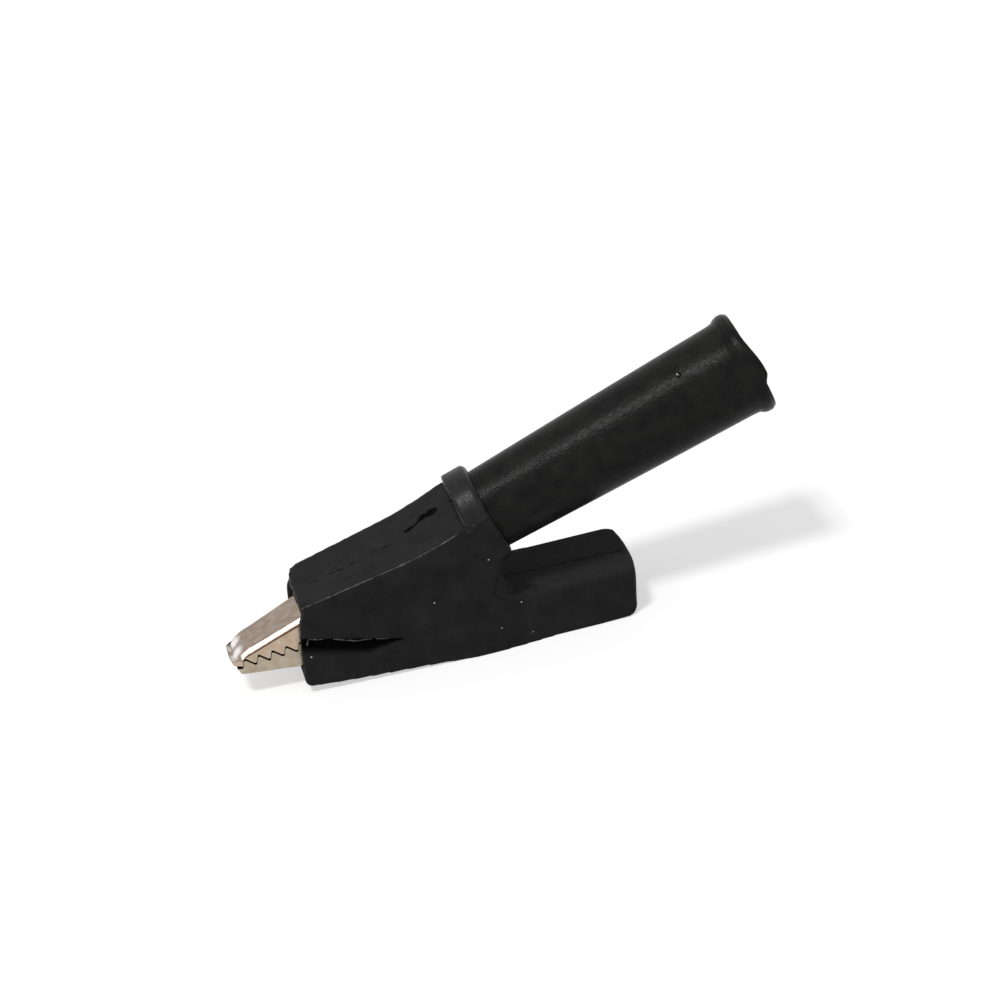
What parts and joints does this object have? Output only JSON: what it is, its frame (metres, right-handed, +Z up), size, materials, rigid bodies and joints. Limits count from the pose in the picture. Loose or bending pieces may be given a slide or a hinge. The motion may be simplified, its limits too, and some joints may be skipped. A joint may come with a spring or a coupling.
{
  "type": "insulated crocodile clip",
  "caption": "Small black insulated crocodile clip: sprung toothed metal jaws in a soft boot with a thumb lever, and a rigid tubular tail that takes a test-lead plug.",
  "frame": {"origin": "middle of the clip's bounding box, on the plane of its flat underside", "axes": "+X from the jaw tip towards the socket, +Y across the clip, +Z up from the flat underside of the boot"},
  "size_m": [0.0595, 0.0116, 0.0278],
  "materials": {
    "boot_pvc": "soft moulded PVC, satin black",
    "sleeve_plastic": "moulded polyamide with a fine orange-peel texture, black",
    "jaw_nickel": "bright nickel plate on pressed steel",
    "rivet_steel": "nickel-plated steel",
    "spring_steel": "bright spring steel wire",
    "contact_nickel": "turned brass, nickel plated"
  },
  "bodies": {
    "clip_body": {"boot_upper": "boot_pvc", "boot_web": "boot_pvc", "jaw_upper": "jaw_nickel", "pivot_rivet": "rivet_steel", "jaw_spring": "spring_steel", "socket_sleeve": "sleeve_plastic", "socket_contact": "contact_nickel", "contact_rivet": "rivet_steel"},
    "lever": {"boot_lower": "boot_pvc", "jaw_lower": "jaw_nickel"}
  },
  "joints": [
    {"name": "jaw_pivot", "type": "hinge", "parent": "clip_body", "child": "lever", "pos_m": [-0.0075, 0, 0.006], "axis": [0, -1, 0], "range_deg": [0, 18], "stiffness_Nm_per_rad": 0.15, "springref_deg": -20.05, "deforming": ["boot_web", "jaw_spring"]}
  ]
}
